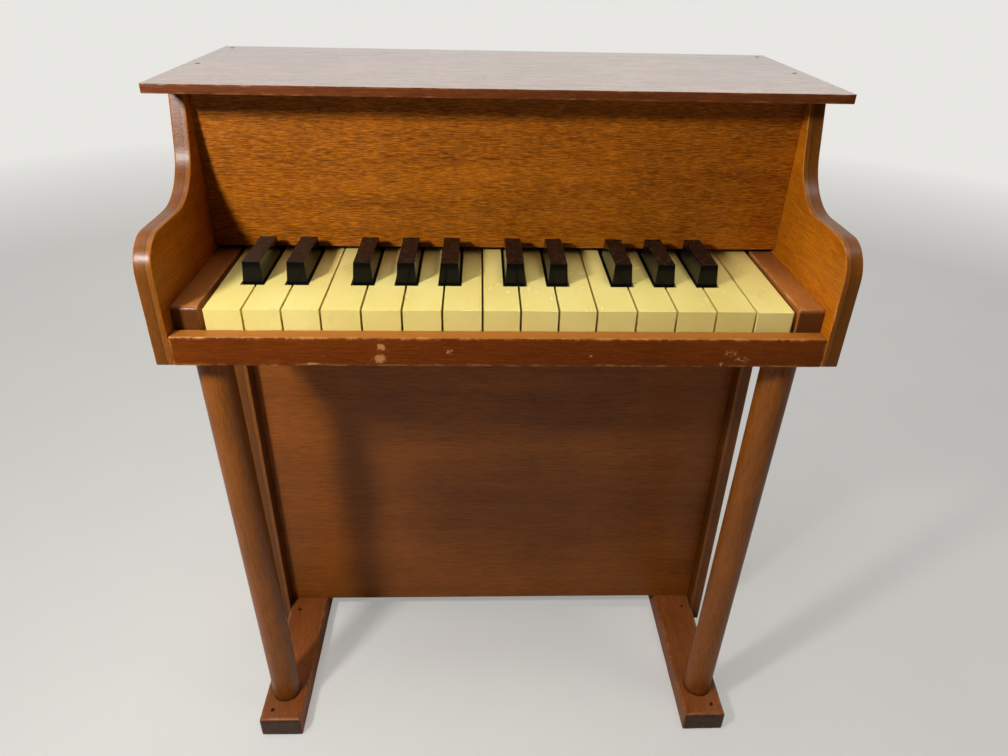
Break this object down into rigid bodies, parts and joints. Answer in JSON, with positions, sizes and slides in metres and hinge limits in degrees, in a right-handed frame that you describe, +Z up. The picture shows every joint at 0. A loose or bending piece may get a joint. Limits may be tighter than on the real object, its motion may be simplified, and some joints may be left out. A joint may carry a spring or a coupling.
{
  "type": "toy piano",
  "caption": "Small upright toy piano: plywood case on runners and round legs, plastic keys on a pivot rod, each throwing a hammer at a hanging steel chime rod.",
  "frame": {"origin": "on the floor, under the middle of the case's box", "axes": "+X to the player's right, +Y from the keyboard to the back, +Z up"},
  "size_m": [0.415, 0.235, 0.5036],
  "materials": {
    "case_wood": "stained and lacquered, satin",
    "inner_wood": "plain sawn wood",
    "white_key": "cream, semi-gloss",
    "black_key": "black, semi-gloss",
    "hammer": "moulded, matte",
    "cast_iron": "as cast",
    "steel": "drawn wire"
  },
  "bodies": {
    "case": {"side_panels": "case_wood", "lid": "case_wood", "front_panel": "case_wood", "knee_panel": "case_wood", "back_panel": "case_wood", "legs_and_runners": "case_wood", "key_slip_and_blocks": "case_wood", "key_bed_and_rails": "inner_wood", "chime_block": "cast_iron", "chime_and_pivot_rods": "steel"},
    "key_01_c": {"key_01_c": "white_key"},
    "hammer_01": {"hammer_01": "hammer"},
    "key_02_c_sharp": {"key_02_c_sharp": "black_key"},
    "hammer_02": {"hammer_02": "hammer"},
    "key_03_d": {"key_03_d": "white_key"},
    "hammer_03": {"hammer_03": "hammer"},
    "key_04_d_sharp": {"key_04_d_sharp": "black_key"},
    "hammer_04": {"hammer_04": "hammer"},
    "key_05_e": {"key_05_e": "white_key"},
    "hammer_05": {"hammer_05": "hammer"},
    "key_06_f": {"key_06_f": "white_key"},
    "hammer_06": {"hammer_06": "hammer"},
    "key_07_f_sharp": {"key_07_f_sharp": "black_key"},
    "hammer_07": {"hammer_07": "hammer"},
    "key_08_g": {"key_08_g": "white_key"},
    "hammer_08": {"hammer_08": "hammer"},
    "key_09_g_sharp": {"key_09_g_sharp": "black_key"},
    "hammer_09": {"hammer_09": "hammer"},
    "key_10_a": {"key_10_a": "white_key"},
    "hammer_10": {"hammer_10": "hammer"},
    "key_11_a_sharp": {"key_11_a_sharp": "black_key"},
    "hammer_11": {"hammer_11": "hammer"},
    "key_12_b": {"key_12_b": "white_key"},
    "hammer_12": {"hammer_12": "hammer"},
    "key_13_c": {"key_13_c": "white_key"},
    "hammer_13": {"hammer_13": "hammer"},
    "key_14_c_sharp": {"key_14_c_sharp": "black_key"},
    "hammer_14": {"hammer_14": "hammer"},
    "key_15_d": {"key_15_d": "white_key"},
    "hammer_15": {"hammer_15": "hammer"},
    "key_16_d_sharp": {"key_16_d_sharp": "black_key"},
    "hammer_16": {"hammer_16": "hammer"},
    "key_17_e": {"key_17_e": "white_key"},
    "hammer_17": {"hammer_17": "hammer"},
    "key_18_f": {"key_18_f": "white_key"},
    "hammer_18": {"hammer_18": "hammer"},
    "key_19_f_sharp": {"key_19_f_sharp": "black_key"},
    "hammer_19": {"hammer_19": "hammer"},
    "key_20_g": {"key_20_g": "white_key"},
    "hammer_20": {"hammer_20": "hammer"},
    "key_21_g_sharp": {"key_21_g_sharp": "black_key"},
    "hammer_21": {"hammer_21": "hammer"},
    "key_22_a": {"key_22_a": "white_key"},
    "hammer_22": {"hammer_22": "hammer"},
    "key_23_a_sharp": {"key_23_a_sharp": "black_key"},
    "hammer_23": {"hammer_23": "hammer"},
    "key_24_b": {"key_24_b": "white_key"},
    "hammer_24": {"hammer_24": "hammer"},
    "key_25_c": {"key_25_c": "white_key"},
    "hammer_25": {"hammer_25": "hammer"}
  },
  "joints": [
    {"name": "key_01_c_press", "type": "hinge", "parent": "case", "child": "key_01_c", "pos_m": [-0.1692, 0.0245, 0.382], "axis": [1, 0, 0], "range_deg": [0, 3.6], "stiffness_Nm_per_rad": 0.25, "springref_deg": -11.46},
    {"name": "hammer_01_swing", "type": "hinge", "parent": "case", "child": "hammer_01", "pos_m": [-0.1692, 0.078, 0.396], "axis": [1, 0, 0], "range_deg": [-18, 0]},
    {"name": "key_02_c_sharp_press", "type": "hinge", "parent": "case", "child": "key_02_c_sharp", "pos_m": [-0.1551, 0.0245, 0.382], "axis": [1, 0, 0], "range_deg": [0, 3.6], "stiffness_Nm_per_rad": 0.25, "springref_deg": -11.46},
    {"name": "hammer_02_swing", "type": "hinge", "parent": "case", "child": "hammer_02", "pos_m": [-0.1551, 0.078, 0.396], "axis": [1, 0, 0], "range_deg": [-18, 0]},
    {"name": "key_03_d_press", "type": "hinge", "parent": "case", "child": "key_03_d", "pos_m": [-0.141, 0.0245, 0.382], "axis": [1, 0, 0], "range_deg": [0, 3.6], "stiffness_Nm_per_rad": 0.25, "springref_deg": -11.46},
    {"name": "hammer_03_swing", "type": "hinge", "parent": "case", "child": "hammer_03", "pos_m": [-0.141, 0.078, 0.396], "axis": [1, 0, 0], "range_deg": [-18, 0]},
    {"name": "key_04_d_sharp_press", "type": "hinge", "parent": "case", "child": "key_04_d_sharp", "pos_m": [-0.1269, 0.0245, 0.382], "axis": [1, 0, 0], "range_deg": [0, 3.6], "stiffness_Nm_per_rad": 0.25, "springref_deg": -11.46},
    {"name": "hammer_04_swing", "type": "hinge", "parent": "case", "child": "hammer_04", "pos_m": [-0.1269, 0.078, 0.396], "axis": [1, 0, 0], "range_deg": [-18, 0]},
    {"name": "key_05_e_press", "type": "hinge", "parent": "case", "child": "key_05_e", "pos_m": [-0.1128, 0.0245, 0.382], "axis": [1, 0, 0], "range_deg": [0, 3.6], "stiffness_Nm_per_rad": 0.25, "springref_deg": -11.46},
    {"name": "hammer_05_swing", "type": "hinge", "parent": "case", "child": "hammer_05", "pos_m": [-0.1128, 0.078, 0.396], "axis": [1, 0, 0], "range_deg": [-18, 0]},
    {"name": "key_06_f_press", "type": "hinge", "parent": "case", "child": "key_06_f", "pos_m": [-0.09904, 0.0245, 0.382], "axis": [1, 0, 0], "range_deg": [0, 3.6], "stiffness_Nm_per_rad": 0.25, "springref_deg": -11.46},
    {"name": "hammer_06_swing", "type": "hinge", "parent": "case", "child": "hammer_06", "pos_m": [-0.09904, 0.078, 0.396], "axis": [1, 0, 0], "range_deg": [-18, 0]},
    {"name": "key_07_f_sharp_press", "type": "hinge", "parent": "case", "child": "key_07_f_sharp", "pos_m": [-0.08561, 0.0245, 0.382], "axis": [1, 0, 0], "range_deg": [0, 3.6], "stiffness_Nm_per_rad": 0.25, "springref_deg": -11.46},
    {"name": "hammer_07_swing", "type": "hinge", "parent": "case", "child": "hammer_07", "pos_m": [-0.08561, 0.078, 0.396], "axis": [1, 0, 0], "range_deg": [-18, 0]},
    {"name": "key_08_g_press", "type": "hinge", "parent": "case", "child": "key_08_g", "pos_m": [-0.07218, 0.0245, 0.382], "axis": [1, 0, 0], "range_deg": [0, 3.6], "stiffness_Nm_per_rad": 0.25, "springref_deg": -11.46},
    {"name": "hammer_08_swing", "type": "hinge", "parent": "case", "child": "hammer_08", "pos_m": [-0.07218, 0.078, 0.396], "axis": [1, 0, 0], "range_deg": [-18, 0]},
    {"name": "key_09_g_sharp_press", "type": "hinge", "parent": "case", "child": "key_09_g_sharp", "pos_m": [-0.05875, 0.0245, 0.382], "axis": [1, 0, 0], "range_deg": [0, 3.6], "stiffness_Nm_per_rad": 0.25, "springref_deg": -11.46},
    {"name": "hammer_09_swing", "type": "hinge", "parent": "case", "child": "hammer_09", "pos_m": [-0.05875, 0.078, 0.396], "axis": [1, 0, 0], "range_deg": [-18, 0]},
    {"name": "key_10_a_press", "type": "hinge", "parent": "case", "child": "key_10_a", "pos_m": [-0.04532, 0.0245, 0.382], "axis": [1, 0, 0], "range_deg": [0, 3.6], "stiffness_Nm_per_rad": 0.25, "springref_deg": -11.46},
    {"name": "hammer_10_swing", "type": "hinge", "parent": "case", "child": "hammer_10", "pos_m": [-0.04532, 0.078, 0.396], "axis": [1, 0, 0], "range_deg": [-18, 0]},
    {"name": "key_11_a_sharp_press", "type": "hinge", "parent": "case", "child": "key_11_a_sharp", "pos_m": [-0.03189, 0.0245, 0.382], "axis": [1, 0, 0], "range_deg": [0, 3.6], "stiffness_Nm_per_rad": 0.25, "springref_deg": -11.46},
    {"name": "hammer_11_swing", "type": "hinge", "parent": "case", "child": "hammer_11", "pos_m": [-0.03189, 0.078, 0.396], "axis": [1, 0, 0], "range_deg": [-18, 0]},
    {"name": "key_12_b_press", "type": "hinge", "parent": "case", "child": "key_12_b", "pos_m": [-0.01846, 0.0245, 0.382], "axis": [1, 0, 0], "range_deg": [0, 3.6], "stiffness_Nm_per_rad": 0.25, "springref_deg": -11.46},
    {"name": "hammer_12_swing", "type": "hinge", "parent": "case", "child": "hammer_12", "pos_m": [-0.01846, 0.078, 0.396], "axis": [1, 0, 0], "range_deg": [-18, 0]},
    {"name": "key_13_c_press", "type": "hinge", "parent": "case", "child": "key_13_c", "pos_m": [-0.0047, 0.0245, 0.382], "axis": [1, 0, 0], "range_deg": [0, 3.6], "stiffness_Nm_per_rad": 0.25, "springref_deg": -11.46},
    {"name": "hammer_13_swing", "type": "hinge", "parent": "case", "child": "hammer_13", "pos_m": [-0.0047, 0.078, 0.396], "axis": [1, 0, 0], "range_deg": [-18, 0]},
    {"name": "key_14_c_sharp_press", "type": "hinge", "parent": "case", "child": "key_14_c_sharp", "pos_m": [0.0094, 0.0245, 0.382], "axis": [1, 0, 0], "range_deg": [0, 3.6], "stiffness_Nm_per_rad": 0.25, "springref_deg": -11.46},
    {"name": "hammer_14_swing", "type": "hinge", "parent": "case", "child": "hammer_14", "pos_m": [0.0094, 0.078, 0.396], "axis": [1, 0, 0], "range_deg": [-18, 0]},
    {"name": "key_15_d_press", "type": "hinge", "parent": "case", "child": "key_15_d", "pos_m": [0.0235, 0.0245, 0.382], "axis": [1, 0, 0], "range_deg": [0, 3.6], "stiffness_Nm_per_rad": 0.25, "springref_deg": -11.46},
    {"name": "hammer_15_swing", "type": "hinge", "parent": "case", "child": "hammer_15", "pos_m": [0.0235, 0.078, 0.396], "axis": [1, 0, 0], "range_deg": [-18, 0]},
    {"name": "key_16_d_sharp_press", "type": "hinge", "parent": "case", "child": "key_16_d_sharp", "pos_m": [0.0376, 0.0245, 0.382], "axis": [1, 0, 0], "range_deg": [0, 3.6], "stiffness_Nm_per_rad": 0.25, "springref_deg": -11.46},
    {"name": "hammer_16_swing", "type": "hinge", "parent": "case", "child": "hammer_16", "pos_m": [0.0376, 0.078, 0.396], "axis": [1, 0, 0], "range_deg": [-18, 0]},
    {"name": "key_17_e_press", "type": "hinge", "parent": "case", "child": "key_17_e", "pos_m": [0.0517, 0.0245, 0.382], "axis": [1, 0, 0], "range_deg": [0, 3.6], "stiffness_Nm_per_rad": 0.25, "springref_deg": -11.46},
    {"name": "hammer_17_swing", "type": "hinge", "parent": "case", "child": "hammer_17", "pos_m": [0.0517, 0.078, 0.396], "axis": [1, 0, 0], "range_deg": [-18, 0]},
    {"name": "key_18_f_press", "type": "hinge", "parent": "case", "child": "key_18_f", "pos_m": [0.06546, 0.0245, 0.382], "axis": [1, 0, 0], "range_deg": [0, 3.6], "stiffness_Nm_per_rad": 0.25, "springref_deg": -11.46},
    {"name": "hammer_18_swing", "type": "hinge", "parent": "case", "child": "hammer_18", "pos_m": [0.06546, 0.078, 0.396], "axis": [1, 0, 0], "range_deg": [-18, 0]},
    {"name": "key_19_f_sharp_press", "type": "hinge", "parent": "case", "child": "key_19_f_sharp", "pos_m": [0.07889, 0.0245, 0.382], "axis": [1, 0, 0], "range_deg": [0, 3.6], "stiffness_Nm_per_rad": 0.25, "springref_deg": -11.46},
    {"name": "hammer_19_swing", "type": "hinge", "parent": "case", "child": "hammer_19", "pos_m": [0.07889, 0.078, 0.396], "axis": [1, 0, 0], "range_deg": [-18, 0]},
    {"name": "key_20_g_press", "type": "hinge", "parent": "case", "child": "key_20_g", "pos_m": [0.09232, 0.0245, 0.382], "axis": [1, 0, 0], "range_deg": [0, 3.6], "stiffness_Nm_per_rad": 0.25, "springref_deg": -11.46},
    {"name": "hammer_20_swing", "type": "hinge", "parent": "case", "child": "hammer_20", "pos_m": [0.09232, 0.078, 0.396], "axis": [1, 0, 0], "range_deg": [-18, 0]},
    {"name": "key_21_g_sharp_press", "type": "hinge", "parent": "case", "child": "key_21_g_sharp", "pos_m": [0.10575, 0.0245, 0.382], "axis": [1, 0, 0], "range_deg": [0, 3.6], "stiffness_Nm_per_rad": 0.25, "springref_deg": -11.46},
    {"name": "hammer_21_swing", "type": "hinge", "parent": "case", "child": "hammer_21", "pos_m": [0.10575, 0.078, 0.396], "axis": [1, 0, 0], "range_deg": [-18, 0]},
    {"name": "key_22_a_press", "type": "hinge", "parent": "case", "child": "key_22_a", "pos_m": [0.11918, 0.0245, 0.382], "axis": [1, 0, 0], "range_deg": [0, 3.6], "stiffness_Nm_per_rad": 0.25, "springref_deg": -11.46},
    {"name": "hammer_22_swing", "type": "hinge", "parent": "case", "child": "hammer_22", "pos_m": [0.11918, 0.078, 0.396], "axis": [1, 0, 0], "range_deg": [-18, 0]},
    {"name": "key_23_a_sharp_press", "type": "hinge", "parent": "case", "child": "key_23_a_sharp", "pos_m": [0.13261, 0.0245, 0.382], "axis": [1, 0, 0], "range_deg": [0, 3.6], "stiffness_Nm_per_rad": 0.25, "springref_deg": -11.46},
    {"name": "hammer_23_swing", "type": "hinge", "parent": "case", "child": "hammer_23", "pos_m": [0.13261, 0.078, 0.396], "axis": [1, 0, 0], "range_deg": [-18, 0]},
    {"name": "key_24_b_press", "type": "hinge", "parent": "case", "child": "key_24_b", "pos_m": [0.14604, 0.0245, 0.382], "axis": [1, 0, 0], "range_deg": [0, 3.6], "stiffness_Nm_per_rad": 0.25, "springref_deg": -11.46},
    {"name": "hammer_24_swing", "type": "hinge", "parent": "case", "child": "hammer_24", "pos_m": [0.14604, 0.078, 0.396], "axis": [1, 0, 0], "range_deg": [-18, 0]},
    {"name": "key_25_c_press", "type": "hinge", "parent": "case", "child": "key_25_c", "pos_m": [0.1645, 0.0245, 0.382], "axis": [1, 0, 0], "range_deg": [0, 3.6], "stiffness_Nm_per_rad": 0.25, "springref_deg": -11.46},
    {"name": "hammer_25_swing", "type": "hinge", "parent": "case", "child": "hammer_25", "pos_m": [0.1645, 0.078, 0.396], "axis": [1, 0, 0], "range_deg": [-18, 0]}
  ],
  "couplings": [
    {"joint": "hammer_01_swing", "follows": "key_01_c_press", "ratio": -5},
    {"joint": "hammer_02_swing", "follows": "key_02_c_sharp_press", "ratio": -5},
    {"joint": "hammer_03_swing", "follows": "key_03_d_press", "ratio": -5},
    {"joint": "hammer_04_swing", "follows": "key_04_d_sharp_press", "ratio": -5},
    {"joint": "hammer_05_swing", "follows": "key_05_e_press", "ratio": -5},
    {"joint": "hammer_06_swing", "follows": "key_06_f_press", "ratio": -5},
    {"joint": "hammer_07_swing", "follows": "key_07_f_sharp_press", "ratio": -5},
    {"joint": "hammer_08_swing", "follows": "key_08_g_press", "ratio": -5},
    {"joint": "hammer_09_swing", "follows": "key_09_g_sharp_press", "ratio": -5},
    {"joint": "hammer_10_swing", "follows": "key_10_a_press", "ratio": -5},
    {"joint": "hammer_11_swing", "follows": "key_11_a_sharp_press", "ratio": -5},
    {"joint": "hammer_12_swing", "follows": "key_12_b_press", "ratio": -5},
    {"joint": "hammer_13_swing", "follows": "key_13_c_press", "ratio": -5},
    {"joint": "hammer_14_swing", "follows": "key_14_c_sharp_press", "ratio": -5},
    {"joint": "hammer_15_swing", "follows": "key_15_d_press", "ratio": -5},
    {"joint": "hammer_16_swing", "follows": "key_16_d_sharp_press", "ratio": -5},
    {"joint": "hammer_17_swing", "follows": "key_17_e_press", "ratio": -5},
    {"joint": "hammer_18_swing", "follows": "key_18_f_press", "ratio": -5},
    {"joint": "hammer_19_swing", "follows": "key_19_f_sharp_press", "ratio": -5},
    {"joint": "hammer_20_swing", "follows": "key_20_g_press", "ratio": -5},
    {"joint": "hammer_21_swing", "follows": "key_21_g_sharp_press", "ratio": -5},
    {"joint": "hammer_22_swing", "follows": "key_22_a_press", "ratio": -5},
    {"joint": "hammer_23_swing", "follows": "key_23_a_sharp_press", "ratio": -5},
    {"joint": "hammer_24_swing", "follows": "key_24_b_press", "ratio": -5},
    {"joint": "hammer_25_swing", "follows": "key_25_c_press", "ratio": -5}
  ]
}
